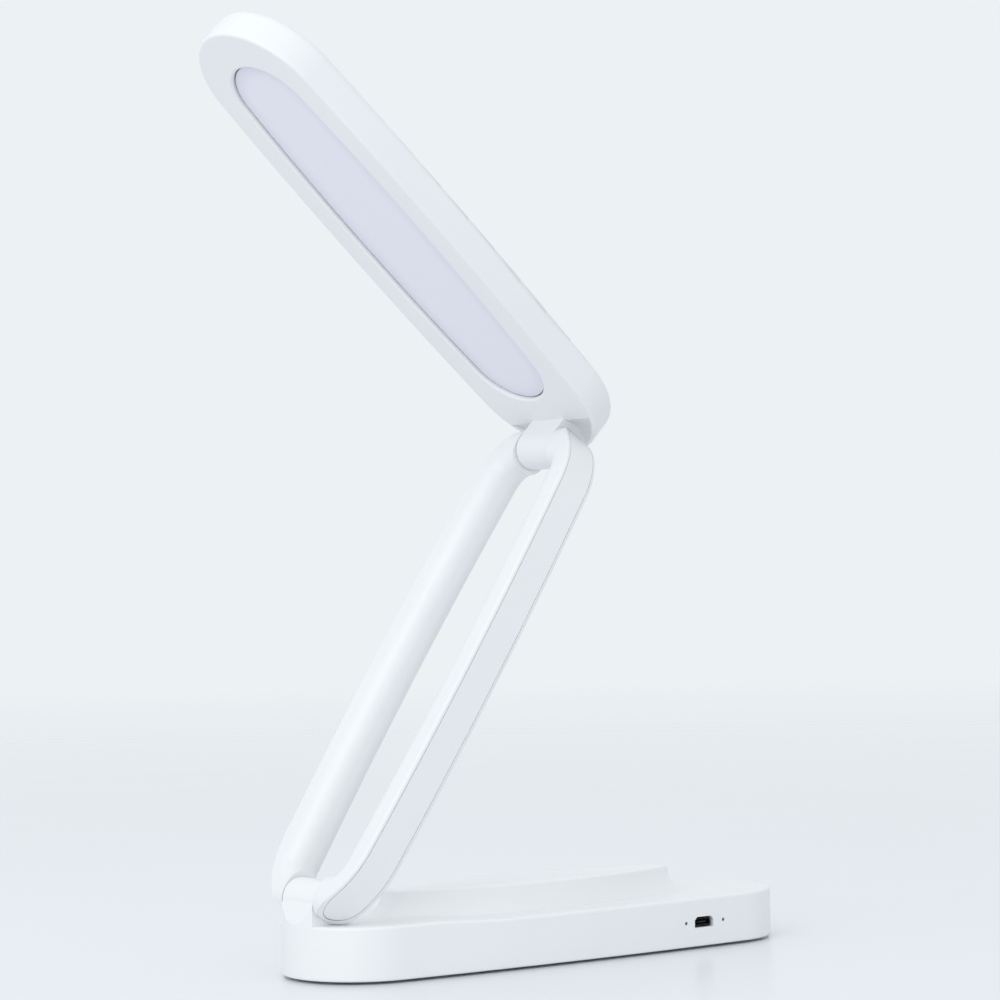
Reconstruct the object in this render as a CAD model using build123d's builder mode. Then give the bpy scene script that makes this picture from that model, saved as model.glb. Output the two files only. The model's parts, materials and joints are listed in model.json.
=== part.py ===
"""Folding desk lamp: an oval base, a two-bar swing arm and an oval light head.

Frame: X runs along the base from its hinge end (-X) to its free end, Y across it
with the charging socket on the -Y side, Z up.  The origin is the middle of the
underside of the anti-slip pad.  All sizes are in millimetres.
"""
import os
from math import cos, radians, sin

from build123d import *

os.makedirs("parts", exist_ok=True)

# ---------------------------------------------------------------- driving dimensions
length = 210.0  # of the base and the head
width = 62.0  # of the base and the arm
side_bow = 1300.0  # radius of the long, slightly bowed sides of base, arm and head
wall = 2.2  # moulded wall
fit = 0.2  # gap all round a piece that is let into another

pad_height = 1.0  # the pad lifts the base this far off the table
pad_inset = 8.0  # from the base's outline to the pad's
deck_left = 19.9  # top of the base at its hinge end
deck_middle = 18.7  # lowest level of the dished top
deck_right = 19.2  # top of the base at its free end
deck_drop_start = -60.0  # the top falls from deck_left to deck_middle
deck_drop_end = -38.0  # between these two places

hinge_inset = 9.6  # lower hinge axis, in from the end of the base
hinge_height = 27.8  # lower hinge axis above the table
arm_reach = 191.0  # from hinge axis to hinge axis
arm_overhang = 8.7  # of the arm's outline, past each hinge axis
arm_lean = 56.6  # degrees above the table, as drawn
arm_thickness = 15.2  # of the bars, and so the diameter of their round ends
bar_width = 13.0  # of each bar at the middle of the arm
knuckle_radius = 7.4  # of the round lugs that the bars swing on
knuckle_width = 20.0
knuckle_gap = 0.4  # between a knuckle and each bar

head_width = 63.4
head_tilt = 42.7  # degrees above the table, as drawn
head_thickness = 13.8
head_back_round = 3.6  # radius of the edge round its back
head_hinge_inset = 9.5  # upper hinge axis, in from the end of the head
face_offset = 8.3  # upper hinge axis in front of the light face

spindle_diameter = 6.0
running_gap = 0.05  # radial gap of a spindle in its bore
spindle_length = 24.0
hinge_screw_diameter = 3.0
hinge_screw_length = 7.0
hinge_screw_head = 4.8
hinge_screw_head_height = 1.3

island_height = 28.8  # top of the raised middle of the base
island_length = 124.0
island_width = 32.0
island_tip = 9.0  # width of its blunt ends
island_middle = -3.0  # where its middle lies along X

strip_width = 11.8  # cover strips let into the bars' outer sides
strip_thickness = 1.4

# ---------------------------------------------------------------- worked out from them
half_length = length / 2
half_width = width / 2
hinge_x = hinge_inset - half_length
arm_half = arm_thickness / 2
lean = radians(arm_lean)
tilt = radians(head_tilt)

arm_along = Vector(cos(lean), 0, sin(lean))
arm_front = Vector(-sin(lean), 0, cos(lean))
lower_axis = Vector(hinge_x, 0, hinge_height)
upper_axis = lower_axis + arm_along * arm_reach
arm_middle = (lower_axis + upper_axis) / 2
hinge_u = arm_reach / 2  # hinge axes, along the arm from its middle

head_along = Vector(-cos(tilt), 0, sin(tilt))
head_back = Vector(sin(tilt), 0, cos(tilt))
head_hinge_x = head_hinge_inset - half_length
head_middle = upper_axis - head_along * head_hinge_x + head_back * face_offset

base_side = Plane.XZ  # sketches in it read X to the right and Z up
arm_plane = Plane(origin=arm_middle, x_dir=arm_along, z_dir=arm_front)
arm_side = Plane(origin=arm_middle, x_dir=arm_along, z_dir=(0, -1, 0))
head_plane = Plane(origin=head_middle, x_dir=head_along, z_dir=head_back)
head_side = Plane(origin=head_middle, x_dir=head_along, z_dir=(0, 1, 0))


def oval(long_half, short_half, bow):
    """Sketch of four arcs: two long sides of radius bow run tangent into round ends."""
    end = (2 * bow * short_half - long_half**2 - short_half**2) / (2 * (bow - long_half))
    end_centre = long_half - end
    side_centre = bow - short_half
    corner_x = bow * end_centre / (bow - end)
    corner_y = bow * side_centre / (bow - end) - side_centre
    with BuildSketch() as shape:
        with BuildLine():
            ThreePointArc((-corner_x, corner_y), (0, short_half), (corner_x, corner_y))
            ThreePointArc((corner_x, corner_y), (long_half, 0), (corner_x, -corner_y))
            ThreePointArc((corner_x, -corner_y), (0, -short_half), (-corner_x, -corner_y))
            ThreePointArc((-corner_x, -corner_y), (-long_half, 0), (-corner_x, corner_y))
        make_face()
    return shape.sketch


def base_outline(inset=0.0):
    """The base's outline, moved in by inset all round."""
    return oval(half_length - inset, half_width - inset, side_bow - inset)


def arm_outline(inset=0.0):
    """The outline that the two bars lie in, moved in by inset all round."""
    return oval(hinge_u + arm_overhang - inset, half_width - inset, side_bow - inset)


def head_outline(inset=0.0):
    """The head's outline, moved in by inset all round."""
    return oval(half_length - inset, head_width / 2 - inset, side_bow - inset)


def lens(long_half, short_half, tip_half):
    """Sketch with two bowed sides that close on short blunt ends."""
    with BuildSketch() as shape:
        with BuildLine():
            ThreePointArc((-long_half, -tip_half), (0, -short_half), (long_half, -tip_half))
            Line((long_half, -tip_half), (long_half, tip_half))
            ThreePointArc((long_half, tip_half), (0, short_half), (-long_half, tip_half))
            Line((-long_half, tip_half), (-long_half, -tip_half))
        make_face()
    return shape.sketch


def side_y(along):
    """Distance of the shared outline's bowed side from the middle, this far along."""
    return half_width - along**2 / (2 * side_bow)


def save(part, name):
    """Give a part its name and write it out."""
    part.label = name
    export_step(part, f"parts/{name}.step")


# ================================================================ base
base_bottom = pad_height
island_section_levels = (deck_middle - 1.5, 22.5, island_height)
island_flares = (6.5, 1.6, 0.0)  # the walls run out in a hollow curve towards the deck
island_side_flares = (1.2, 0.3, 0.0)
knuckle_half = knuckle_width / 2
deck_reach = half_length + 5

with BuildPart() as deck_cutter:
    with BuildSketch(base_side) as deck_profile:
        with BuildLine():
            FilletPolyline(
                (-deck_reach, deck_left),
                (deck_drop_start, deck_left),
                (deck_drop_end, deck_middle),
                (deck_reach, deck_right),
                radius=120,
            )
            Polyline(
                (deck_reach, deck_right),
                (deck_reach, island_height),
                (-deck_reach, island_height),
                (-deck_reach, deck_left),
            )
        make_face()
    extrude(amount=width, both=True)

with BuildPart() as outline_prism:
    with BuildSketch(Plane.XY.offset(base_bottom)):
        add(base_outline())
    extrude(amount=island_height + knuckle_radius)

# knuckle on the hinge end: its outer side leaves the round end wall flush and leans
# in a little, so that the closed head still clears it when the arm is raised
knuckle_foot_lean = 0.35  # how far past the end wall that leaning side would reach at its foot
with BuildPart() as base_knuckle:
    with BuildSketch(base_side):
        with Locations((hinge_x, hinge_height)):
            Circle(knuckle_radius)
        with BuildLine():
            Polyline(
                (hinge_x - knuckle_radius, hinge_height),
                (-half_length - knuckle_foot_lean, deck_middle),
                (hinge_x + knuckle_radius, deck_middle),
                (hinge_x + knuckle_radius, hinge_height),
                close=True,
            )
        make_face()
    extrude(amount=knuckle_half, both=True)
    add(outline_prism.part, mode=Mode.INTERSECT)

with BuildPart() as island:
    for level, flare, side_flare in zip(island_section_levels, island_flares, island_side_flares):
        with BuildSketch(Plane.XY.offset(level)):
            with Locations((island_middle, 0)):
                half_size = (island_length / 2 + flare, island_width / 2 + side_flare)
                add(lens(*half_size, island_tip / 2 + flare / 2))
    loft()
    fillet(island.faces().sort_by(Axis.Z)[-1].edges(), radius=0.6)

# cavity under the deck, and the room under the island that the battery needs
roof = deck_middle - wall
island_roof = island_height - wall
cover_thickness = 2.4
post_diameter = 7.0
post_places = [(-80, 17), (-80, -17), (88, 12), (88, -12)]
cover_screw_diameter = 2.2
cover_screw_length = 9.0

usb_x = 56.0  # charging socket, along the near side
usb_z = 10.0
usb_opening_width = 9.2
usb_opening_height = 4.0
light_hole_diameter = 1.3
light_hole_places = [47.2, 65.6]

with BuildPart() as base_shell:
    with BuildSketch(Plane.XY.offset(base_bottom)):
        add(base_outline())
    extrude(amount=deck_left + 2 - base_bottom)
    add(deck_cutter.part, mode=Mode.SUBTRACT)
    fillet(base_shell.faces().sort_by(Axis.Z)[0].edges(), radius=0.8)
    rim = base_shell.edges().filter_by(lambda e: e.center().Z > deck_middle - 1.5)
    rim = rim.filter_by(lambda e: abs(e.center().Y) > 5 or abs(e.center().X) > half_length - 1)
    fillet(rim, radius=1.0)
    add(base_knuckle.part)
    add(island.part)
    # hollow it from below
    with BuildSketch(Plane.XY.offset(base_bottom)):
        add(base_outline(wall))
    extrude(amount=roof - base_bottom, mode=Mode.SUBTRACT)
    with BuildSketch(Plane.XY.offset(base_bottom)):
        with Locations((island_middle, 0)):
            add(lens(island_length / 2 - wall, island_width / 2 - wall, island_tip / 2 - wall))
    extrude(amount=island_roof - base_bottom, mode=Mode.SUBTRACT)
    # posts that take the cover's screws
    with BuildSketch(Plane.XY.offset(base_bottom + cover_thickness)):
        with Locations(*post_places):
            Circle(post_diameter / 2)
            Circle(cover_screw_diameter / 2, mode=Mode.SUBTRACT)
    extrude(amount=roof - base_bottom - cover_thickness)
    # bore for the lower hinge
    with BuildSketch(base_side):
        with Locations((hinge_x, hinge_height)):
            Circle(spindle_diameter / 2 + running_gap)
    extrude(amount=knuckle_width, both=True, mode=Mode.SUBTRACT)
    # charging socket's window and the two light holes beside it
    with BuildSketch(base_side.offset(half_width - 3 * wall)):
        with Locations((usb_x, usb_z)):
            window = Rectangle(usb_opening_width, usb_opening_height)
        chamfer(window.vertices().group_by(Axis.Y)[-1], length=1.2)
    extrude(amount=4 * wall, mode=Mode.SUBTRACT)
    with BuildSketch(base_side.offset(half_width - 3 * wall)):
        with Locations(*[(x, usb_z) for x in light_hole_places]):
            Circle(light_hole_diameter / 2)
    extrude(amount=4 * wall, mode=Mode.SUBTRACT)
save(base_shell.part, "base_shell")

# ---------------------------------------------------------------- inside the base
cover_top = base_bottom + cover_thickness
screw_head_radius = 2.3
screw_head_height = 1.1
battery_diameter = 18.3
battery_length = 65.0
battery_x = -3.0
battery_lift = 0.3  # above the cover
battery_axis = cover_top + battery_lift + battery_diameter / 2
cradle_height = 6.0
board_x = 57.0
board_y = -7.0
board_length = 46.0
board_width = 36.0
board_thickness = 1.6
usb_socket_size = (7.5, 5.6, 2.7)
board_top = usb_z - usb_socket_size[2] / 2
standoff_diameter = 5.0
standoff_places = [(board_x + sx * 18, board_y + sy * 14) for sx in (-1, 1) for sy in (-1, 1)]

with BuildPart() as base_cover:
    with BuildSketch(Plane.XY.offset(base_bottom)):
        add(base_outline(wall + fit))
    extrude(amount=cover_thickness)
    with BuildSketch(Plane.XY.offset(cover_top)):
        with Locations(*standoff_places):
            Circle(standoff_diameter / 2)
    extrude(amount=board_top - board_thickness - cover_top)
    # two saddles hold the battery cell
    with BuildSketch(Plane.XY.offset(cover_top)):
        with Locations((battery_x - battery_length / 3, 0), (battery_x + battery_length / 3, 0)):
            Rectangle(2, battery_diameter)
    extrude(amount=cradle_height)
    with BuildSketch(Plane.YZ.offset(battery_x - battery_length / 2)):
        with Locations((0, battery_axis)):
            Circle(battery_diameter / 2 + fit)
    extrude(amount=battery_length, mode=Mode.SUBTRACT)
    with Locations(*[(x, y, base_bottom) for x, y in post_places]):
        Hole(cover_screw_diameter / 2 + fit, depth=3 * cover_thickness)
    with BuildSketch(Plane.XY.offset(base_bottom)):
        with Locations(*post_places):
            Circle(screw_head_radius + fit)
    extrude(amount=screw_head_height + fit / 2, mode=Mode.SUBTRACT)
save(base_cover.part, "base_cover")

with BuildPart() as base_pad:
    with BuildSketch():
        add(base_outline(pad_inset))
    extrude(amount=pad_height)
    fillet(base_pad.faces().sort_by(Axis.Z)[0].edges(), radius=0.4)
save(base_pad.part, "base_pad")

with BuildPart() as cover_screws:
    with BuildSketch(Plane.XY.offset(base_bottom + fit / 2)):
        with Locations(*post_places):
            Circle(screw_head_radius)
            RegularPolygon(0.9, 6, mode=Mode.SUBTRACT)
    extrude(amount=screw_head_height)
    with BuildSketch(Plane.XY.offset(base_bottom + fit / 2 + screw_head_height)):
        with Locations(*post_places):
            Circle(cover_screw_diameter / 2 - running_gap)
    extrude(amount=cover_screw_length)
    with BuildSketch(Plane.XY.offset(base_bottom + fit / 2 + screw_head_height / 2)):
        with Locations(*post_places):
            Circle(1.2)
    extrude(amount=screw_head_height / 2)
save(cover_screws.part, "cover_screws")

with BuildPart() as battery_cell:
    with BuildSketch(Plane.YZ.offset(battery_x - battery_length / 2)):
        with Locations((0, battery_axis)):
            Circle(battery_diameter / 2)
    extrude(amount=battery_length)
    chamfer(battery_cell.edges().filter_by(GeomType.CIRCLE), length=0.6)
    with BuildSketch(Plane.YZ.offset(battery_x + battery_length / 2)):
        with Locations((0, battery_axis)):
            Circle(3.2)
    extrude(amount=1.2)
save(battery_cell.part, "battery_cell")

ballast_x = -62.0
ballast_length = 42.0
ballast_width = 36.0
ballast_thickness = 5.0
with BuildPart() as ballast_plate:
    with BuildSketch(Plane.XY.offset(cover_top)):
        with Locations((ballast_x, 0)):
            RectangleRounded(ballast_length, ballast_width, 4)
        with Locations(*post_places):
            Circle(post_diameter / 2 + 1, mode=Mode.SUBTRACT)
    extrude(amount=ballast_thickness)
    chamfer(ballast_plate.faces().sort_by(Axis.Z)[-1].outer_wire().edges(), length=0.4)
save(ballast_plate.part, "ballast_plate")

with BuildPart() as charge_board:
    with BuildSketch(Plane.XY.offset(board_top - board_thickness)):
        with Locations((board_x, board_y)):
            RectangleRounded(board_length, board_width, 1.5)
    extrude(amount=board_thickness)
save(charge_board.part, "charge_board")

usb_front = 0.9 - side_y(usb_x)  # just inside the wall's face
with BuildPart() as usb_socket:
    with BuildSketch(base_side.offset(-usb_front)):
        with Locations((usb_x, usb_z)):
            shell_outline = Rectangle(usb_socket_size[0], usb_socket_size[2])
        chamfer(shell_outline.vertices().group_by(Axis.Y)[-1], length=0.9)
    extrude(amount=-usb_socket_size[1])
    mouth = usb_socket.faces().sort_by(Axis.Y)[0]
    offset(amount=-0.35, openings=mouth)
    with BuildSketch(base_side.offset(-usb_front - 0.6)):
        with Locations((usb_x, usb_z - 0.15)):
            Rectangle(4.4, 0.7)
    extrude(amount=-usb_socket_size[1] + 0.9)
save(usb_socket.part, "usb_socket")

# a charging chip, a touch chip and a power coil on the board
with BuildPart() as board_parts:
    with BuildSketch(Plane.XY.offset(board_top)):
        with Locations((board_x + 2, board_y + 4)):
            RectangleRounded(9, 9, 1)
    extrude(amount=4)
    with BuildSketch(Plane.XY.offset(board_top)):
        with Locations((board_x - 14, board_y - 4), (board_x + 14, board_y + 6)):
            RectangleRounded(5, 5, 0.3)
    extrude(amount=1.2)
save(board_parts.part, "board_parts")

# a touch spot under the island's top is the switch: a foil disc on a bent leaf spring
touch_x = 46.0
touch_diameter = 11.0
touch_foil = 0.3
leaf_width = 4.0
leaf_thickness = 0.4
with BuildPart() as touch_foil_disc:
    with BuildSketch(Plane.XY.offset(island_roof - touch_foil)):
        with Locations((touch_x, 0)):
            Circle(touch_diameter / 2)
    extrude(amount=touch_foil)
save(touch_foil_disc.part, "touch_foil")

with BuildPart() as touch_leaf:
    leaf_top = island_roof - touch_foil - leaf_thickness / 2
    leaf_foot = board_top + leaf_thickness / 2
    with BuildSketch(base_side):
        with BuildLine():
            FilletPolyline(
                (touch_x - 3, leaf_top),
                (touch_x + 3, leaf_top),
                (touch_x - 1, (leaf_top + leaf_foot) / 2),
                (touch_x + 3, leaf_foot),
                (touch_x - 3, leaf_foot),
                radius=0.9,
            )
        trace(line_width=leaf_thickness)
    extrude(amount=leaf_width / 2, both=True)
save(touch_leaf.part, "touch_leaf")

with BuildPart() as light_pipes:
    for x in light_hole_places:
        wall_face = side_y(x)
        with BuildSketch(base_side.offset(wall_face - 0.15)):
            with Locations((x, usb_z)):
                Circle(light_hole_diameter / 2 - running_gap)
        extrude(amount=-wall)
        with BuildSketch(base_side.offset(wall_face - 0.15 - wall)):
            with Locations((x, usb_z)):
                Circle(light_hole_diameter)
        extrude(amount=-1.5)
save(light_pipes.part, "light_pipes")


# ================================================================ hinges
def spindle_at(axis_point):
    """Steel spindle across the lamp with a tapped hole in each end."""
    across = Plane(origin=axis_point, x_dir=(1, 0, 0), z_dir=(0, -1, 0))
    with BuildPart() as spindle:
        with BuildSketch(across):
            Circle(spindle_diameter / 2)
        extrude(amount=spindle_length / 2, both=True)
        chamfer(spindle.edges().filter_by(GeomType.CIRCLE), length=0.4)
        with BuildSketch(across):
            Circle(hinge_screw_diameter / 2 + running_gap)
        extrude(amount=spindle_length, both=True, mode=Mode.SUBTRACT)
        with BuildSketch(across):
            Circle(hinge_screw_diameter / 2 + 3 * running_gap)
        extrude(amount=2, both=True)
    return spindle.part


def screws_at(axis_point):
    """The two cap screws that clamp the bars to a spindle's ends."""
    with BuildPart() as screws:
        for side in (-1, 1):
            head_face = Plane(
                origin=axis_point + Vector(0, side * (spindle_length / 2 + screw_web), 0),
                x_dir=(1, 0, 0),
                z_dir=(0, side, 0),
            )
            with BuildSketch(head_face.offset(running_gap)):
                Circle(hinge_screw_head / 2)
            extrude(amount=hinge_screw_head_height)
            with BuildSketch(head_face.offset(running_gap + hinge_screw_head_height)):
                RegularPolygon(1.2, 6)
            extrude(amount=-0.8, mode=Mode.SUBTRACT)
            with BuildSketch(head_face.offset(running_gap)):
                Circle(hinge_screw_diameter / 2)
            extrude(amount=-hinge_screw_length)
    return screws.part


def washers_at(axis_point):
    """The two thin washers that rub between a knuckle and the bars."""
    with BuildPart() as washers:
        for side in (-1, 1):
            face = Plane(
                origin=axis_point + Vector(0, side * (knuckle_half + knuckle_gap / 4), 0),
                x_dir=(1, 0, 0),
                z_dir=(0, side, 0),
            )
            with BuildSketch(face):
                Circle(knuckle_radius - 0.8)
                Circle(spindle_diameter / 2 + 4 * running_gap, mode=Mode.SUBTRACT)
            extrude(amount=knuckle_gap / 2)
    return washers.part


screw_web = 0.8  # of the bar between a spindle's end and the screw's head
save(spindle_at(lower_axis), "lower_spindle")
save(spindle_at(upper_axis), "upper_spindle")
save(screws_at(lower_axis), "lower_hinge_screws")
save(screws_at(upper_axis), "upper_hinge_screws")
save(washers_at(lower_axis), "lower_washers")
save(washers_at(upper_axis), "upper_washers")

# ================================================================ arm
inner_half = half_width - bar_width
knuckle_clearance = 1.8  # between a knuckle and the end of the arm's opening
loop_end = hinge_u - knuckle_radius - knuckle_clearance  # where the opening ends
boss_face = knuckle_half + knuckle_gap
channel_width = 8.0
channel_end = loop_end - 8
channel_depth = 6.5
inner_round = 6.6  # radius that makes the bars' inner sides nearly half round
outer_round = 1.2

with BuildPart() as arm_ring:
    with BuildSketch(arm_plane):
        add(arm_outline())
    extrude(amount=arm_half, both=True)
    rims = arm_ring.edges().filter_by(
        lambda e: abs(arm_plane.to_local_coords(e.center()).Z) > arm_half - 0.1
    )
    fillet(rims, radius=outer_round)
    with BuildSketch(arm_plane):
        opening_end = 4.0
        with BuildLine():
            opening_bow = side_bow - bar_width
            corner_y = inner_half - loop_end**2 / (2 * opening_bow)
            ThreePointArc((-loop_end, corner_y), (0, inner_half), (loop_end, corner_y))
            Line((loop_end, corner_y), (loop_end, -corner_y))
            ThreePointArc((loop_end, -corner_y), (0, -inner_half), (-loop_end, -corner_y))
            Line((-loop_end, -corner_y), (-loop_end, corner_y))
        opening = make_face()
        fillet(opening.vertices(), radius=opening_end)
    extrude(amount=arm_thickness, both=True, mode=Mode.SUBTRACT)
    inner_edges = arm_ring.edges().filter_by(
        lambda e: abs(arm_plane.to_local_coords(e.center()).Z) > arm_half - 0.1
        and abs(arm_plane.to_local_coords(e.center()).Y) < inner_half + 0.1
        and abs(arm_plane.to_local_coords(e.center()).X) < loop_end + 0.1
    )
    fillet(inner_edges, radius=inner_round)
    with BuildSketch(arm_side):
        SlotCenterToCenter(arm_reach, arm_thickness)
    extrude(amount=width, both=True, mode=Mode.INTERSECT)
lug_places = [-60, -20, 20, 60]
lug_height = 2.0
lug_length = 6.0


def hinge_planes(side):
    """Planes across the lamp at the two hinge axes, looking out to one side."""
    return [
        Plane(origin=axis_point, x_dir=(1, 0, 0), z_dir=(0, side, 0))
        for axis_point in (lower_axis, upper_axis)
    ]


def arm_bar(side):
    """One bar of the arm: round ends with hinge bores, a channel under its strip."""
    with BuildPart() as strip_recess:
        with BuildSketch(arm_side):
            SlotCenterToCenter(arm_reach, strip_width + 2 * fit)
        extrude(amount=width, both=True)
        with BuildSketch(arm_plane):
            add(arm_outline(strip_thickness + fit / 2))
        extrude(amount=arm_thickness, both=True, mode=Mode.SUBTRACT)
    with BuildPart() as channel:
        with BuildSketch(arm_side):
            SlotCenterToCenter(2 * channel_end, channel_width)
        extrude(amount=width, both=True)
        with BuildSketch(arm_plane):
            add(arm_outline(channel_depth))
        extrude(amount=arm_thickness, both=True, mode=Mode.SUBTRACT)
    with BuildPart() as bar:
        add(arm_ring.part)
        with BuildSketch(arm_plane):
            with Locations((0, side * (boss_face + half_width) / 2)):
                Rectangle(length, half_width - boss_face)
        extrude(amount=arm_thickness, both=True, mode=Mode.INTERSECT)
        add(strip_recess.part, mode=Mode.SUBTRACT)
        add(channel.part, mode=Mode.SUBTRACT)
        for across in hinge_planes(side):
            with BuildSketch(across.offset(boss_face)):
                Circle(spindle_diameter / 2 + running_gap)
            extrude(amount=spindle_length / 2 + running_gap - boss_face, mode=Mode.SUBTRACT)
            with BuildSketch(across.offset(boss_face)):
                Circle(hinge_screw_diameter / 2 + 2 * running_gap)
            extrude(amount=half_width, mode=Mode.SUBTRACT)
            with BuildSketch(across.offset(spindle_length / 2 + screw_web)):
                Circle(hinge_screw_head / 2 + fit)
            extrude(amount=half_width, mode=Mode.SUBTRACT)
    return bar.part


def cover_strip(side):
    """Strip let into a bar's outer side, with lugs that snap into the channel."""
    with BuildPart() as strip:
        add(arm_ring.part)
        with BuildSketch(arm_side):
            SlotCenterToCenter(arm_reach, strip_width)
        extrude(amount=width, both=True, mode=Mode.INTERSECT)
        with BuildSketch(arm_plane):
            with Locations((0, side * half_width)):
                Rectangle(length, 2 * (half_width - boss_face))
        extrude(amount=arm_thickness, both=True, mode=Mode.INTERSECT)
        with BuildSketch(arm_plane):
            add(arm_outline(strip_thickness))
        extrude(amount=arm_thickness, both=True, mode=Mode.SUBTRACT)
        for place in lug_places:
            lug_y = side * (side_y(place) - strip_thickness / 2)
            lug_face = Plane(
                origin=arm_middle + arm_along * place + Vector(0, lug_y, 0),
                x_dir=arm_along,
                z_dir=(0, -side, 0),
            )
            with BuildSketch(lug_face):
                RectangleRounded(lug_length, channel_width - 2 * fit, 1)
            extrude(amount=strip_thickness / 2 + lug_height)
    return strip.part


for side, name in ((-1, "near"), (1, "far")):
    save(arm_bar(side), f"arm_bar_{name}")
    save(cover_strip(side), f"cover_strip_{name}")

# the lead to the light runs in the far bar's channel, along the same bow as the bar
lead_diameter = 2.6
lead_inset = channel_depth - lead_diameter / 2 - fit
lead_end = channel_end - 2
with BuildPart() as arm_lead:
    lead_y = half_width - lead_inset
    lead_drop = lead_end**2 / (2 * (side_bow - lead_inset))
    with BuildLine(arm_plane) as lead_path:
        ThreePointArc((-lead_end, lead_y - lead_drop), (0, lead_y), (lead_end, lead_y - lead_drop))
    with BuildSketch(Plane(origin=lead_path.line @ 0, z_dir=lead_path.line % 0)):
        Circle(lead_diameter / 2)
    sweep()
save(arm_lead.part, "arm_lead")

# ================================================================ head
face_wall = 2.2
panel_recess = 1.6
panel_middle = 5.8  # the light panel's middle, from the head's, towards its free end
panel_half_length = 83.5
panel_half_width = 20.8
panel_bow = 800.0
panel_flange = 1.8
diffuser_thickness = 1.5
guide_thickness = 3.0
back_rebate_inset = head_back_round + 0.6
back_cover_thickness = 1.8
head_cavity_inset = 2.8
scoop_radius = arm_half + 2.8
scoop_rim = 1.6


def head_level(edge):
    """How far behind the light face an edge's middle lies."""
    return head_plane.to_local_coords(edge.center()).Z


def panel_shape(grow=0.0):
    """Outline of the light panel, grown all round."""
    return oval(panel_half_length + grow, panel_half_width + grow, panel_bow + grow)


# hollows in the light face that the bars' round ends swing into
with BuildPart() as scoops:
    with BuildSketch(head_side):
        with Locations((head_hinge_x, -face_offset)):
            Circle(scoop_radius)
    extrude(amount=head_width, both=True)
    with BuildSketch(head_side):
        Rectangle(2 * length, length)
    extrude(amount=knuckle_half, both=True, mode=Mode.SUBTRACT)
    with BuildSketch(head_plane):
        add(head_outline(scoop_rim))
    extrude(amount=head_thickness, both=True, mode=Mode.INTERSECT)

with BuildPart() as head_shell:
    with BuildSketch(head_plane):
        add(head_outline())
    extrude(amount=head_thickness)
    back_edges = head_shell.edges().filter_by(lambda e: head_level(e) > head_thickness - 0.1)
    fillet(back_edges, radius=head_back_round)
    face_edges = head_shell.edges().filter_by(lambda e: head_level(e) < 0.1)
    fillet(face_edges, radius=outer_round)
    # room for the light panel, then the rebate for the back cover
    with BuildSketch(head_plane.offset(face_wall)):
        with BuildSketch(head_plane.offset(face_wall), mode=Mode.PRIVATE) as cavity:
            add(head_outline(head_cavity_inset))
            with Locations((head_hinge_x - head_hinge_inset, 0)):
                Rectangle(2 * (head_hinge_inset + knuckle_radius + 3.5), width, mode=Mode.SUBTRACT)
        add(cavity.sketch_local)
    extrude(amount=head_thickness, mode=Mode.SUBTRACT)
    with BuildSketch(head_plane.offset(head_thickness - back_cover_thickness)):
        add(head_outline(back_rebate_inset))
    extrude(amount=head_thickness, mode=Mode.SUBTRACT)
    # the panel shows through an opening with a sloped edge
    with BuildSketch(head_plane):
        with Locations((panel_middle, 0)):
            add(panel_shape())
    extrude(amount=face_wall, mode=Mode.SUBTRACT)
    rim_edges = head_shell.edges().filter_by(
        lambda e: abs(head_level(e)) < 0.05
        and abs(head_plane.to_local_coords(e.center()).Y) < panel_half_width + 0.1
        and abs(head_plane.to_local_coords(e.center()).X - panel_middle) < panel_half_length + 0.1
    )
    chamfer(rim_edges, length=0.7)
    add(scoops.part, mode=Mode.SUBTRACT)
    # neck and knuckle on the light face
    with BuildSketch(head_side):
        with Locations((head_hinge_x, -face_offset)):
            Circle(knuckle_radius)
        with Locations((head_hinge_x, -face_offset / 2 + 0.5)):
            Rectangle(2 * knuckle_radius, face_offset + 1)
    extrude(amount=knuckle_half, both=True)
    with BuildSketch(head_side):
        with Locations((head_hinge_x, -face_offset)):
            Circle(spindle_diameter / 2 + running_gap)
    extrude(amount=width, both=True, mode=Mode.SUBTRACT)
save(head_shell.part, "head_shell")

with BuildPart() as head_back_cover:
    with BuildSketch(head_plane.offset(head_thickness - back_cover_thickness)):
        add(head_outline(back_rebate_inset + fit / 2))
    extrude(amount=back_cover_thickness)
    fillet(head_back_cover.edges().filter_by(lambda e: head_level(e) > head_thickness - 0.1), radius=0.3)
save(head_back_cover.part, "head_back_cover")

with BuildPart() as diffuser:
    with BuildSketch(head_plane.offset(panel_recess)):
        with Locations((panel_middle, 0)):
            add(panel_shape(-fit / 2))
    extrude(amount=face_wall - panel_recess)
    with BuildSketch(head_plane.offset(face_wall)):
        with Locations((panel_middle, 0)):
            add(panel_shape(panel_flange))
    extrude(amount=diffuser_thickness)
save(diffuser.part, "diffuser")

guide_level = face_wall + diffuser_thickness
with BuildPart() as light_guide:
    with BuildSketch(head_plane.offset(guide_level)):
        with Locations((panel_middle, 0)):
            add(panel_shape(0.4))
    extrude(amount=guide_thickness)
save(light_guide.part, "light_guide")

reflector_thickness = 0.3
with BuildPart() as reflector:
    with BuildSketch(head_plane.offset(guide_level + guide_thickness)):
        with Locations((panel_middle, 0)):
            add(panel_shape(0.4))
    extrude(amount=reflector_thickness)
save(reflector.part, "reflector")

led_strip_length = 130.0
led_strip_y = panel_half_width + 2.6
led_count = 20
with BuildPart() as led_strips:
    for side in (-1, 1):
        with BuildSketch(head_plane.offset(guide_level)):
            with Locations((panel_middle, side * led_strip_y)):
                Rectangle(led_strip_length, 1.0)
        extrude(amount=guide_thickness + reflector_thickness)
save(led_strips.part, "led_strips")

with BuildPart() as leds:
    for side in (-1, 1):
        with BuildSketch(head_plane.offset(guide_level + 0.6)):
            with Locations((panel_middle, side * (led_strip_y - 0.9))):
                with GridLocations(led_strip_length / led_count, 1, led_count, 1):
                    Rectangle(2.8, 0.8)
        extrude(amount=1.6)
save(leds.part, "leds")
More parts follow.
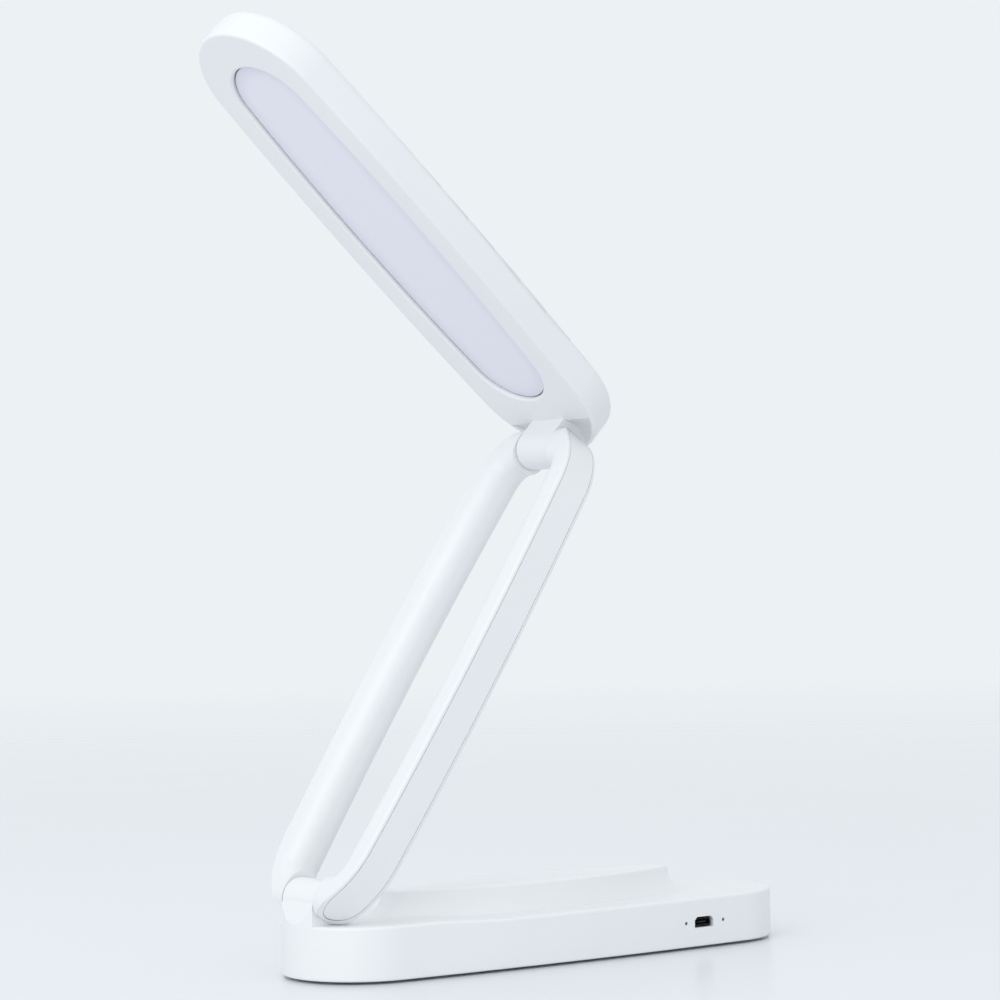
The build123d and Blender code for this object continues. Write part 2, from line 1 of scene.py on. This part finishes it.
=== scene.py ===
# %% [markdown]
# # A folding desk lamp, dressed for a product picture
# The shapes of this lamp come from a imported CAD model: an oval base, an arm of two
# bars and an oval light head, with hinges between them.  This lesson loads those
# pieces as a frame that is never moved, and gives them what a moulder and a
# photographer would: a finish for every piece, a pale table and soft light.
# Everything is in metres, in the frame of the CAD model.

# %% Load the frame
import json
import math

import bmesh
import bpy
import numpy as np
from mathutils import Matrix, Vector


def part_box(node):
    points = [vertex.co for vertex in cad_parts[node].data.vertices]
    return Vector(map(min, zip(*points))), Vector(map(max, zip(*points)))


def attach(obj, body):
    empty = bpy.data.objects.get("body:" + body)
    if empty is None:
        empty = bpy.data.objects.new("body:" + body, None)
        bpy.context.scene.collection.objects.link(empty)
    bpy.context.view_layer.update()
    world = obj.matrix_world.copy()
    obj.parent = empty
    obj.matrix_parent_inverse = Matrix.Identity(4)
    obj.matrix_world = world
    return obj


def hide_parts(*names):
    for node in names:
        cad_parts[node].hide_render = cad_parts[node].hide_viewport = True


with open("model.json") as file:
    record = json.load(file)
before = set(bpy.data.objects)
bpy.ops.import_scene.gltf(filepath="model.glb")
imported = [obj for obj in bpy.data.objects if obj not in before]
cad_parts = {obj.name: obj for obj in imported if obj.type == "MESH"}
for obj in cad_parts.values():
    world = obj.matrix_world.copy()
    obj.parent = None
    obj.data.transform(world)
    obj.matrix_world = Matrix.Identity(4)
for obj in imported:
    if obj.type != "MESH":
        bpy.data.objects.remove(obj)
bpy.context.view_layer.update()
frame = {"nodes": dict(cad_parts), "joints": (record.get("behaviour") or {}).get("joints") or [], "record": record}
nodes = frame["nodes"]

# %% [markdown]
# ## The camera
# The picture was taken from a little above the table with a long lens, so the
# lines of the lamp hardly run together.  A camera is a place, three turns and a
# focal length.  Here the turns are a heading, measured from the Y axis towards X,
# a small upward pitch and a very small roll.  Building the rotation from three
# unit vectors (right, up, backwards) is clearer than Euler angles, because each
# vector says what one side of the picture looks along.

# %% Place the camera
heading = math.radians(35.504)
pitch = math.radians(1.440)
roll = math.radians(-1.044)
camera_place = Vector((-0.6339, -0.8707, 0.1414))
frame_pixels = 1000
focal_pixels = 2899.5

forward = Vector(
    (
        math.sin(heading) * math.cos(pitch),
        math.cos(heading) * math.cos(pitch),
        math.sin(pitch),
    )
)
level_right = Vector((math.cos(heading), -math.sin(heading), 0.0))
level_up = level_right.cross(forward)
right = level_right * math.cos(roll) + level_up * math.sin(roll)
up = level_up * math.cos(roll) - level_right * math.sin(roll)

camera_data = bpy.data.cameras.new("long_lens")
camera_data.sensor_width = 36.0
camera_data.lens = focal_pixels * camera_data.sensor_width / frame_pixels
camera_data.clip_start = 0.05
camera_data.clip_end = 60.0
camera = bpy.data.objects.new("long_lens", camera_data)
bpy.context.scene.collection.objects.link(camera)
camera.matrix_world = Matrix(
    (
        (right.x, up.x, -forward.x, camera_place.x),
        (right.y, up.y, -forward.y, camera_place.y),
        (right.z, up.z, -forward.z, camera_place.z),
        (0.0, 0.0, 0.0, 1.0),
    )
)
bpy.context.scene.camera = camera
print("lens", round(camera_data.lens, 1), "mm, looking along", [round(v, 3) for v in forward])

# %% [markdown]
# ## A few helpers for surfaces
# A new piece in this lesson is a sheet of points worked out all at once with
# numpy: rows go round, columns go along.  The first helper knits such a grid into
# quads, closes it round, and hands it to Blender.  The second one seals its poles.

# %% A grid of points becomes a mesh
def knit(name, points):
    """Object from an array of shape (rows, columns, 3).  Quad (i, j) joins points
    (i, j), (i+1, j), (i+1, j+1) and (i, j+1), and the last row joins the first."""
    rows, columns = points.shape[:2]
    i, j = np.meshgrid(np.arange(rows), np.arange(columns - 1), indexing="ij")
    i2, j2 = (i + 1) % rows, j + 1
    quads = np.stack([i * columns + j, i2 * columns + j, i2 * columns + j2, i * columns + j2], -1)
    mesh = bpy.data.meshes.new(name)
    mesh.from_pydata(points.reshape(-1, 3), [], quads.reshape(-1, 4).tolist())
    mesh.polygons.foreach_set("use_smooth", np.full(len(mesh.polygons), True))
    mesh.update()
    made = bpy.data.objects.new(name, mesh)
    bpy.context.scene.collection.objects.link(made)
    return made


def close_up(made):
    """Merge points that coincide, as at a pole, then turn every face outwards."""
    work = bmesh.new()
    work.from_mesh(made.data)
    bmesh.ops.remove_doubles(work, verts=work.verts, dist=1e-7)
    bmesh.ops.recalc_face_normals(work, faces=work.faces)
    work.to_mesh(made.data)
    work.free()
    made.data.update()
    return made


# %% [markdown]
# ## The table
# The lamp stands on a white glossy table in a white room, so table and wall melt
# together.  A round sheet of floor that turns transparent towards its rim lets
# the room's own light show there, so there is no horizon line from any side.
# Its points are rings: radius times cosine and sine of the angle.

# %% Floor
floor_spokes = 96
turns = np.linspace(0.0, 2.0 * np.pi, floor_spokes, endpoint=False)
radii = np.array([0.0001, 0.3, 0.6, 1.0, 1.5, 2.2, 3.0])
floor_points = np.stack(
    [
        np.outer(np.cos(turns), radii),
        np.outer(np.sin(turns), radii),
        np.zeros((len(turns), len(radii))),
    ],
    -1,
)
floor = knit("table_top", floor_points[::-1])
print("floor points:", len(floor.data.vertices))

# %% [markdown]
# ## Node materials
# A moulded surface is never one flat number.  Each finish below is built from the
# same few nodes: noise on Object coordinates shifts the colour a little, another
# noise shifts the roughness, and a fine one becomes a bump of some micrometres.
# Object coordinates are metres here, so a noise scale of 1000 means grains of 1 mm.

# %% Node helpers
def new_finish(name):
    """An empty node material with its shader and output, and the Object coordinates."""
    made = bpy.data.materials.new(name)
    made.use_nodes = True
    tree = made.node_tree
    tree.nodes.clear()
    output = tree.nodes.new("ShaderNodeOutputMaterial")
    shader = tree.nodes.new("ShaderNodeBsdfPrincipled")
    place = tree.nodes.new("ShaderNodeTexCoord")
    tree.links.new(shader.outputs["BSDF"], output.inputs["Surface"])
    return made, tree, shader, place.outputs["Object"]


def noise(tree, where, scale, detail=2.0):
    """Noise of the given scale (cells per metre) at the given coordinates."""
    node = tree.nodes.new("ShaderNodeTexNoise")
    node.inputs["Scale"].default_value = scale
    node.inputs["Detail"].default_value = detail
    tree.links.new(where, node.inputs["Vector"])
    return node.outputs["Fac"]


def spread(tree, value, low, high, from_low=0.3, from_high=0.7):
    """The value moved from one range to another and held inside it."""
    node = tree.nodes.new("ShaderNodeMapRange")
    node.inputs["From Min"].default_value = from_low
    node.inputs["From Max"].default_value = from_high
    node.inputs["To Min"].default_value = low
    node.inputs["To Max"].default_value = high
    tree.links.new(value, node.inputs["Value"])
    return node.outputs["Result"]


def between(tree, factor, first, second):
    """Colour between two colours."""
    node = tree.nodes.new("ShaderNodeMix")
    node.data_type = "RGBA"
    node.inputs["A"].default_value = (*first, 1.0)
    node.inputs["B"].default_value = (*second, 1.0)
    tree.links.new(factor, node.inputs["Factor"])
    return node.outputs["Result"]


def over(tree, factor, under, colour):
    """A linked colour that gives way to a plain one as the factor rises."""
    node = tree.nodes.new("ShaderNodeMix")
    node.data_type = "RGBA"
    node.inputs["B"].default_value = (*colour, 1.0)
    tree.links.new(factor, node.inputs["Factor"])
    tree.links.new(under, node.inputs["A"])
    return node.outputs["Result"]


def bump(tree, shader, height, depth):
    """Bump of the given depth in metres on the shader's normal."""
    node = tree.nodes.new("ShaderNodeBump")
    node.inputs["Distance"].default_value = depth
    tree.links.new(height, node.inputs["Height"])
    tree.links.new(node.outputs["Normal"], shader.inputs["Normal"])


# %% [markdown]
# ## White moulded plastic
# Base, arm and head are injection moulded in one white.  The mould is finely
# textured, so highlights are wide and soft, and the colour drifts by two percent
# where the plastic flowed.  The roughness differs a little from piece to piece,
# and base and cover strips are painted a little lighter than arm and head, as
# painted light on sides the lamps leave dim.  The same function serves the film,
# the boards, the blackened plate and the other plastics.

# %% Moulded plastic
plastic_index = 1.49
grain_scale = 2600.0
grain_depth = 0.000012
colour_drift = 0.02


def moulded(name, colour, rough):
    """Satin moulded plastic: colour drift over 40 mm, roughness drift over 12 mm, fine grain."""
    made, tree, shader, where = new_finish(name)
    darker = tuple(c * (1.0 - colour_drift) for c in colour)
    tint = spread(tree, noise(tree, where, 25.0, 3.0), 0.0, 1.0)
    tree.links.new(between(tree, tint, colour, darker), shader.inputs["Base Color"])
    shine = spread(tree, noise(tree, where, 80.0, 4.0), rough - 0.03, rough + 0.05)
    tree.links.new(shine, shader.inputs["Roughness"])
    bump(tree, shader, noise(tree, where, grain_scale), grain_depth)
    shader.inputs["IOR"].default_value = plastic_index
    return made


finishes = {
    # Painted light: base and cover strips are set a little lighter than arm and head.
    "base_housing": moulded("satin_white_base", (0.865, 0.877, 0.884), 0.36),
    "arm_bars": moulded("satin_white_arm", (0.835, 0.848, 0.855), 0.32),
    "cover_strips": moulded("matt_white_strip", (0.845, 0.86, 0.866), 0.42),
    "head_housing": moulded("satin_white_head", (0.835, 0.85, 0.86), 0.38),
    "washer": moulded("waxy_washer", (0.62, 0.61, 0.56), 0.3),
    "board_parts": moulded("black_package", (0.02, 0.02, 0.022), 0.45),
    "socket_tongue": moulded("black_tongue", (0.012, 0.012, 0.013), 0.4),
    "lead": moulded("lead_insulation", (0.6, 0.6, 0.58), 0.5),
    "reflector": moulded("white_film", (0.86, 0.86, 0.86), 0.2),
    "battery": moulded("cell_sleeve", (0.03, 0.12, 0.3), 0.3),
    "ballast": moulded("blackened_plate", (0.03, 0.03, 0.032), 0.5),
    "circuit_board": moulded("green_lacquer", (0.01, 0.12, 0.05), 0.3),
    "pad": moulded("grey_silicone", (0.42, 0.43, 0.45), 0.6),
    "led_lens": moulded("led_phosphor", (0.8, 0.7, 0.25), 0.3),
}
print("plastic finishes:", len(finishes))

# %% [markdown]
# ## Metal
# Screws, pins, foil and the socket are metal.  A tool or a roller leaves fine marks
# all in one direction, so the noise is squeezed along Z before it is read, and the
# same marks drive the colour, the roughness and the bump.

# %% Metal
mark_stretch = (1.0, 1.0, 30.0)


def metal(name, colour, rough):
    """Turned or drawn metal: noise stretched one way shifts colour, roughness and bump."""
    made, tree, shader, where = new_finish(name)
    mapping = tree.nodes.new("ShaderNodeMapping")
    mapping.inputs["Scale"].default_value = mark_stretch
    tree.links.new(where, mapping.inputs["Vector"])
    streaks = noise(tree, mapping.outputs["Vector"], 900.0, 3.0)
    darker = tuple(c * 0.8 for c in colour)
    tree.links.new(between(tree, streaks, colour, darker), shader.inputs["Base Color"])
    tree.links.new(spread(tree, streaks, rough - 0.08, rough + 0.1), shader.inputs["Roughness"])
    bump(tree, shader, streaks, 0.00001)
    shader.inputs["Metallic"].default_value = 1.0
    return made


# The socket shell is near black: dark plating, and painted shade for the dark inside of the socket window.
finishes["socket_metal"] = metal("dark_shell_painted_shade", (0.06, 0.062, 0.066), 0.35)
finishes["contact_gold"] = metal("contact_gold", (0.75, 0.55, 0.22), 0.25)
finishes["fastener_steel"] = metal("zinc_screw", (0.6, 0.6, 0.62), 0.35)
finishes["hinge_steel"] = metal("turned_pin", (0.55, 0.55, 0.56), 0.25)
finishes["spring_steel"] = metal("spring_leaf", (0.6, 0.58, 0.55), 0.3)
finishes["copper"] = metal("copper_foil", (0.8, 0.42, 0.25), 0.3)

# %% [markdown]
# ## Clear plastic
# Light goes through the two light pipes and the plate behind the panel.  Only faint
# scratches show on them, so the noise moves the roughness most and the colour least.

# %% Clear plastic
def clear(name, colour, rough):
    """Clear plastic: light goes through, fine scratches shift the roughness."""
    made, tree, shader, where = new_finish(name)
    haze = noise(tree, where, 300.0, 4.0)
    tree.links.new(spread(tree, haze, rough, rough + 0.1), shader.inputs["Roughness"])
    darker = tuple(c * 0.97 for c in colour)
    tree.links.new(between(tree, haze, colour, darker), shader.inputs["Base Color"])
    shader.inputs["Transmission Weight"].default_value = 0.9
    shader.inputs["IOR"].default_value = plastic_index
    return made


finishes["clear_pipe"] = clear("light_pipe", (0.9, 0.92, 0.95), 0.1)
finishes["clear_guide"] = clear("guide_plate", (0.93, 0.95, 0.97), 0.05)
print("finishes so far:", len(finishes))

# %% [markdown]
# ## Opal panel
# The light panel is milky plastic with the lamp switched off.  It looks a little
# lilac because light sinks in and comes back from the film behind it.  Along its
# border the frame shades it, and that shade is painted into the colour, cooler
# and darker.  The piece made further down carries a measure named border: 0 in
# the middle of the face, 0.85 close to its edge and 1 on the walls of the gap to
# the frame.  The finish reads it as an attribute, so the painted border shade
# follows the panel's outline.  Above 0.94 it turns to dark grey: painted shade
# for a gap that is deeper and darker than the one modelled.

# %% Opal finish
opal, tree, shader, where = new_finish("opal_panel")
edge = tree.nodes.new("ShaderNodeAttribute")
edge.attribute_name = "border"
cloud = noise(tree, where, 18.0, 2.0)
milk = between(tree, cloud, (0.805, 0.79, 0.862), (0.775, 0.79, 0.858))
# Painted shade: the colour turns cooler and darker towards the border, where the frame shades it.
shade = spread(tree, edge.outputs["Fac"], 0.0, 1.0, 0.6, 1.0)
shaded_milk = over(tree, shade, milk, (0.69, 0.72, 0.80))
# Painted shade: from border 0.94 on, the walls of the gap to the frame turn near black.
painted_gap_shade = spread(tree, edge.outputs["Fac"], 0.0, 1.0, 0.94, 0.99)
tree.links.new(over(tree, painted_gap_shade, shaded_milk, (0.16, 0.17, 0.19)), shader.inputs["Base Color"])
frost = noise(tree, where, 3500.0)
tree.links.new(spread(tree, frost, 0.32, 0.4), shader.inputs["Roughness"])
bump(tree, shader, frost, 0.000004)
shader.inputs["IOR"].default_value = plastic_index
finishes["diffuser"] = opal
print("opal panel finish has", len(tree.nodes), "nodes")

# %% [markdown]
# ## Finishes onto the CAD pieces
# The frame's record names a material slot for every piece.  The loop below looks
# each slot up in the finishes and changes nothing else about the piece.

# %% Give every CAD piece its finish
for row in frame["record"]["subparts"]:
    piece = nodes[row["node"]]
    piece.data.materials.clear()
    piece.data.materials.append(finishes[row["material_slot"]])

# %% [markdown]
# ## The light panel as one surface
# The panel is a plate with a flange behind the head's frame and a plug that fills
# the frame's opening.  The photo shows a thin dark line round the panel, as a
# rounded edge that stops a little short of the frame would draw it; here that
# rounded edge is built, and the walls of its gap also carry painted shade.  The
# CAD plate is flat with sharp edges, so a new surface stands for it.  It is made
# of rings: one outline of four arcs, carried from the back round the flange and
# the plug's edge to the middle, while a short table of insets and levels says
# where each ring lies.

# %% Outline and place of the panel
def four_arcs(long_half, short_half, bow, steps=48):
    """Closed outline: two long arcs of radius bow and two end arcs tangent to them.
    End radius = (2 bow short - long^2 - short^2) / (2 (bow - long))."""
    end = (2 * bow * short_half - long_half**2 - short_half**2) / (2 * (bow - long_half))
    lean = np.arcsin((long_half - end) / (bow - end))
    side = np.linspace(-lean, lean, 2 * steps, endpoint=False)
    tip = np.linspace(0.0, np.pi - 2 * lean, steps, endpoint=False) + lean
    top = np.stack([bow * np.sin(side), bow * np.cos(side) - (bow - short_half)], -1)
    cap = np.stack([long_half - end + end * np.sin(tip), end * np.cos(tip)], -1)
    half = np.concatenate([top, cap])
    return np.concatenate([half, -half])


hinge_place = {j["name"]: j["pos_m"] for j in frame["joints"]}
head_tilt = math.radians(42.7)
hinge_to_middle = 0.0955
hinge_to_face = 0.0083
head_along = np.array([-math.cos(head_tilt), 0.0, math.sin(head_tilt)])
head_across = np.array([0.0, -1.0, 0.0])
head_back = np.array([math.sin(head_tilt), 0.0, math.cos(head_tilt)])
upper_hinge = np.array(hinge_place["upper_hinge"])
head_middle = upper_hinge + hinge_to_middle * head_along + hinge_to_face * head_back
print("middle of the light face:", head_middle.round(4))


def on_head(flat, level):
    """Points of the head's face plane: middle + x along + y across + level backwards."""
    return (
        head_middle
        + flat[..., :1] * head_along
        + flat[..., 1:] * head_across
        + level[..., None] * head_back
    )


# %% [markdown]
# Insets are measured inwards from the frame's opening and levels backwards from the
# light face.  The flange reaches past the opening, so its inset is negative.

# %% Panel rings
opening = np.array([0.0835, 0.0208, 0.8])
panel_shift = 0.0058
plate_back = 0.0037
flange_front = 0.0022
flange_reach = 0.0018
flange_bevel = 0.0002
plug_gap = 0.0003
plug_round = 0.0003
plug_front = 0.00166
crown_inset = 0.002
crown_level = 0.00164
crown_rise = 0.00004

bend = np.linspace(0.0, np.pi / 2, 6)
flange_rim = flange_bevel - flange_reach
flange_insets = [flange_rim, -flange_reach, -flange_reach, flange_rim, plug_gap]
rim_back, rim_front = plate_back - flange_bevel, flange_front + flange_bevel
flange_levels = [plate_back, rim_back, rim_front, flange_front, flange_front]
insets = np.concatenate([flange_insets, plug_gap + plug_round * (1.0 - np.cos(bend)), [crown_inset]])
levels = np.concatenate([flange_levels, plug_front + plug_round * (1.0 - np.sin(bend)), [crown_level]])
rings = np.stack([four_arcs(*(opening - inset)) for inset in insets], 1)
print("panel rings:", rings.shape[1], "of", rings.shape[0], "points")

# %% Panel surface
spine_half = 0.066
spine = rings[:, -1] * [1.0, 0.0]
spine[:, 0] = np.clip(spine[:, 0], -spine_half, spine_half)
inward = np.linspace(0.25, 1.0, 8)
outward = np.linspace(1.0, 0.25, 4)
crown = rings[:, -1:] + (spine[:, None] - rings[:, -1:]) * inward[:, None]
back = rings[:, :1] + (spine[:, None] - rings[:, :1]) * outward[:, None]
flat = np.concatenate([back, rings, crown], 1) + [panel_shift, 0.0]
level = np.concatenate([np.full(len(outward), plate_back), levels, crown_level - crown_rise * inward])
panel = knit("opal_light_panel", on_head(flat, np.broadcast_to(level, flat.shape[:2])))

# Four columns on the back and two of the flange are unseen; seven line the gap.
# The border measure carries painted shade: 1 on the gap walls comes out near black, and the lip and face rim take
# part of the border shade.
unseen, gap_wall, lip, face_rim = 0.5, 1.0, 0.93, 0.85
measure = np.concatenate(
    [np.full(6, unseen), np.full(7, gap_wall), [lip, lip, face_rim], face_rim * (1.0 - inward)]
)
border = panel.data.attributes.new("border", "FLOAT", "POINT")
border.data.foreach_set("value", np.broadcast_to(measure, flat.shape[:2]).astype(np.float32).ravel())
close_up(panel)
panel.data.materials.append(finishes["diffuser"])
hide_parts("diffuser")
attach(panel, "head")
print("panel points:", len(panel.data.vertices))

# %% [markdown]
# ## The charging socket
# A small charging socket is a folded sheet-metal shell with a rolled mouth, and
# inside it a black tongue that carries five contacts.  The CAD socket is a plain
# box with sharp edges.  Here its outline, a box with two cut corners, is rounded
# and carried along a path: from the closed back, over the outside, round the lip
# and back down the inside.

# %% Rounded outlines and rings
def rounded(corners, radius, steps=6):
    """Closed outline with each corner cut by a curve from the point radius before it
    to the point radius after it: (1-t)^2 A + 2 t (1-t) corner + t^2 B."""
    corners = np.asarray(corners, float)
    ahead = np.roll(corners, -1, 0) - corners
    behind = np.roll(corners, 1, 0) - corners
    first = corners + radius * behind / np.linalg.norm(behind, axis=1)[:, None]
    last = corners + radius * ahead / np.linalg.norm(ahead, axis=1)[:, None]
    t = np.linspace(0.0, 1.0, steps)[None, :, None]
    curve = (1 - t) ** 2 * first[:, None] + 2 * t * (1 - t) * corners[:, None] + t**2 * last[:, None]
    return curve.reshape(-1, 2)


def shrunk(outline, inset):
    """Outline moved in by inset along the mean normal of its two neighbours' chord."""
    chord = np.roll(outline, -1, 0) - np.roll(outline, 1, 0)
    chord /= np.linalg.norm(chord, axis=1)[:, None]
    return outline + inset * np.stack([-chord[:, 1], chord[:, 0]], -1)


socket_low, socket_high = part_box("usb_socket")
socket_middle = (socket_low + socket_high) / 2
print("socket from", [round(v, 4) for v in socket_low], "to", [round(v, 4) for v in socket_high])


def across_wall(outline, depths):
    """Rings of an outline in X and Z, one at each Y in depths."""
    ring = np.zeros((len(outline), len(depths), 3))
    ring[..., 0] = socket_middle.x + outline[..., 0]
    ring[..., 2] = socket_middle.z + outline[..., 1]
    ring[..., 1] = depths
    return ring


# %% [markdown]
# Each part of the socket is a stack of such rings that starts and ends in a point,
# so it comes out closed.  The insets say how far a ring has moved in, and the depths
# how far behind the mouth it lies.

# %% A closed stack of rings
def stacked(name, outline, insets, depths, middle, finish):
    """Piece from one outline: ring k is the outline moved in by insets[k] at depths[k],
    and a pole at the point middle closes both ends at the first and last depth."""
    loops = np.stack([shrunk(outline, inset) for inset in insets], 1)
    pole = np.zeros_like(loops[:, :1]) + middle
    loops = np.concatenate([pole, loops, pole], 1)
    depths = np.concatenate([depths[:1], depths, depths[-1:]])
    made = close_up(knit(name, across_wall(loops, depths)))
    made.data.materials.append(finish)
    return made


# %% Socket shell
mouth, bottom = socket_low.y, socket_high.y
inner_floor = bottom - 0.0004
half_x, half_z, cut = 0.00375, 0.00135, 0.0009
shell_outline = rounded(
    [
        (-half_x, -half_z),
        (half_x, -half_z),
        (half_x, half_z - cut),
        (half_x - cut, half_z),
        (-half_x + cut, half_z),
        (-half_x, half_z - cut),
    ],
    0.00035,
)
lip_insets = np.array([0.0, 0.0, 0.00008, 0.00018, 0.00028, 0.00034, 0.00034])
lip_steps = mouth + np.array([0.0002, 0.00005, 0.0, 0.00005, 0.0002])
shell_depths = np.concatenate([[bottom], lip_steps, [inner_floor]])
shell = stacked(
    "socket_shell", shell_outline, lip_insets, shell_depths, (0.0, 0.0), finishes["socket_metal"]
)

# %% Socket tongue
tongue_half, tongue_low, tongue_high = 0.0022, -0.0005, 0.0002
tongue_outline = rounded(
    [
        (-tongue_half, tongue_low),
        (tongue_half, tongue_low),
        (tongue_half, tongue_high),
        (-tongue_half, tongue_high),
    ],
    0.00015,
)
tongue_insets = np.array([0.0, 0.0, 0.0001, 0.00025])
tongue_depths = np.array([inner_floor, mouth + 0.0008, mouth + 0.00065, mouth + 0.0006])
tongue_middle = (0.0, (tongue_low + tongue_high) / 2)
tongue = stacked(
    "socket_tongue", tongue_outline, tongue_insets, tongue_depths, tongue_middle, finishes["socket_tongue"]
)

# %% Socket contacts
contact_half, contact_low, contact_high = 0.0002, -0.00058, -0.00045
contact_outline = rounded(
    [
        (-contact_half, contact_low),
        (contact_half, contact_low),
        (contact_half, contact_high),
        (-contact_half, contact_high),
    ],
    0.00004,
    3,
)
contact_depths = np.array([mouth + 0.0011, bottom - 0.0008])
contacts = [
    stacked(
        f"socket_contact_{number}",
        contact_outline + [shift, 0.0],
        np.zeros(2),
        contact_depths,
        (shift, -0.00051),
        finishes["contact_gold"],
    )
    for number, shift in enumerate(np.linspace(-0.0013, 0.0013, 5))
]
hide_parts("usb_socket")
for piece in (shell, tongue, *contacts):
    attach(piece, "base")
print("socket pieces:", shell.name, tongue.name, "and", len(contacts), "contacts")

# %% [markdown]
# ## The table's finish
# White acrylic: pale, fairly smooth, with a faint reflection of what stands on
# it.  From half a metre outwards it mixes into a transparent shader.

# %% Table finish
table_finish, tree, shader, where = new_finish("white_table")
speck = noise(tree, where, 6.0, 1.0)
tree.links.new(between(tree, speck, (0.80, 0.824, 0.85), (0.796, 0.82, 0.846)), shader.inputs["Base Color"])
tree.links.new(spread(tree, speck, 0.24, 0.26), shader.inputs["Roughness"])
shader.inputs["Specular IOR Level"].default_value = 0.3
reach = tree.nodes.new("ShaderNodeVectorMath")
reach.operation = "LENGTH"
tree.links.new(where, reach.inputs[0])
clear_from, clear_at = 0.5, 2.6
fade = spread(tree, reach.outputs["Value"], 0.0, 1.0, clear_from, clear_at)
rim = tree.nodes.new("ShaderNodeBsdfTransparent")
mixed = tree.nodes.new("ShaderNodeMixShader")
tree.links.new(fade, mixed.inputs["Fac"])
tree.links.new(shader.outputs["BSDF"], mixed.inputs[1])
tree.links.new(rim.outputs["BSDF"], mixed.inputs[2])
output = next(n for n in tree.nodes if n.bl_idname == "ShaderNodeOutputMaterial")
tree.links.new(mixed.outputs["Shader"], output.inputs["Surface"])
floor.data.materials.append(table_finish)

# %% [markdown]
# ## Light
# The room is white all round: a world of one pale colour does most of the work
# and gives soft shading where pieces shade each other.  A large soft box above and
# to the left lifts the sides that face it, and a lower one fills them from the front.

# %% Light
world = bpy.data.worlds.new("white_room")
world.use_nodes = True
room = world.node_tree.nodes["Background"]
room.inputs["Color"].default_value = (0.847, 0.880, 0.905, 1.0)
room.inputs["Strength"].default_value = 1.0
bpy.context.scene.world = world


def soft_box(name, place, aim, size, power):
    """Square area light at a place, facing a point."""
    data = bpy.data.lights.new(name, "AREA")
    data.size = size
    data.energy = power
    light = bpy.data.objects.new(name, data)
    light.location = place
    light.rotation_euler = (Vector(aim) - Vector(place)).to_track_quat("-Z", "Y").to_euler()
    bpy.context.scene.collection.objects.link(light)


soft_box("upper_left_box", (-1.1, -0.3, 1.2), (0.0, 0.0, 0.15), 1.0, 4.0)
soft_box("left_fill_box", (-1.3, -1.0, 0.5), (0.0, 0.0, 0.08), 1.0, 4.0)
bpy.context.scene.view_settings.view_transform = "Standard"
